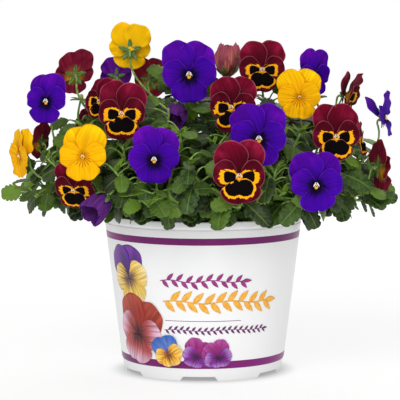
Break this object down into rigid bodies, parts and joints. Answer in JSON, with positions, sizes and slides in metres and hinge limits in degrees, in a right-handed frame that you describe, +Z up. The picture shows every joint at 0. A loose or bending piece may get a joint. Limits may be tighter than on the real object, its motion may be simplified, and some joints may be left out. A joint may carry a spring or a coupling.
{
  "type": "potted pansy planter",
  "caption": "Round moulded pot of potting mix with a leafy pansy plant in full bloom; stands free on its notched foot ring.",
  "frame": {"origin": "on the floor, on the pot's axis, under the middle of the plant's spread", "axes": "+Z up, the blooms' faces look along -Y, +X to the right of a viewer who stands in front"},
  "size_m": [0.4273, 0.3501, 0.379],
  "materials": {
    "pot": "white moulded plastic, satin, with two printed plum bands",
    "potting_mix": "dark, damp, crumbly peat and bark",
    "foliage": "dark green leaves with paler veins, pale green stalks",
    "petal_maroon": "velvet maroon petals with a black and yellow mask",
    "petal_purple": "velvet violet petals with a dark throat",
    "petal_gold": "golden yellow petals with fine brown throat lines"
  },
  "bodies": {
    "root": {"pot": "pot", "potting_mix": "potting_mix", "shoot_01": "foliage", "shoot_02": "foliage", "shoot_03": "foliage", "shoot_04": "foliage", "shoot_05": "foliage", "shoot_06": "foliage", "shoot_07": "foliage", "shoot_08": "foliage", "shoot_09": "foliage", "shoot_10": "foliage", "shoot_11": "foliage", "shoot_12": "foliage", "shoot_13": "foliage", "shoot_14": "foliage", "shoot_15": "foliage", "shoot_16": "foliage", "shoot_17": "foliage", "shoot_18": "foliage", "shoot_19": "foliage", "shoot_20": "foliage", "shoot_21": "foliage", "shoot_22": "foliage", "bloom_gold_01": "petal_gold", "bloom_gold_02": "petal_gold", "bloom_gold_03": "petal_gold", "bloom_gold_04": "petal_gold", "bloom_gold_05": "petal_gold", "bloom_gold_06": "petal_gold", "bloom_maroon_01": "petal_maroon", "bloom_maroon_02": "petal_maroon", "bloom_maroon_03": "petal_maroon", "bloom_maroon_04": "petal_maroon", "bloom_maroon_05": "petal_maroon", "bloom_maroon_06": "petal_maroon", "bloom_maroon_07": "petal_maroon", "bloom_maroon_08": "petal_maroon", "bloom_maroon_09": "petal_maroon", "bloom_maroon_10": "petal_maroon", "bloom_maroon_11": "petal_maroon", "bloom_maroon_12": "petal_maroon", "bloom_maroon_13": "petal_maroon", "bloom_maroon_14": "petal_maroon", "bloom_maroon_15": "petal_maroon", "bloom_maroon_16": "petal_maroon", "bloom_purple_01": "petal_purple", "bloom_purple_02": "petal_purple", "bloom_purple_03": "petal_purple", "bloom_purple_04": "petal_purple", "bloom_purple_05": "petal_purple", "bloom_purple_06": "petal_purple", "bloom_purple_07": "petal_purple", "bloom_purple_08": "petal_purple", "bloom_purple_09": "petal_purple", "bloom_purple_10": "petal_purple", "bloom_purple_11": "petal_purple", "furled_maroon_01": "petal_maroon", "furled_purple_01": "petal_purple", "furled_purple_02": "petal_purple"}
  },
  "joints": []
}
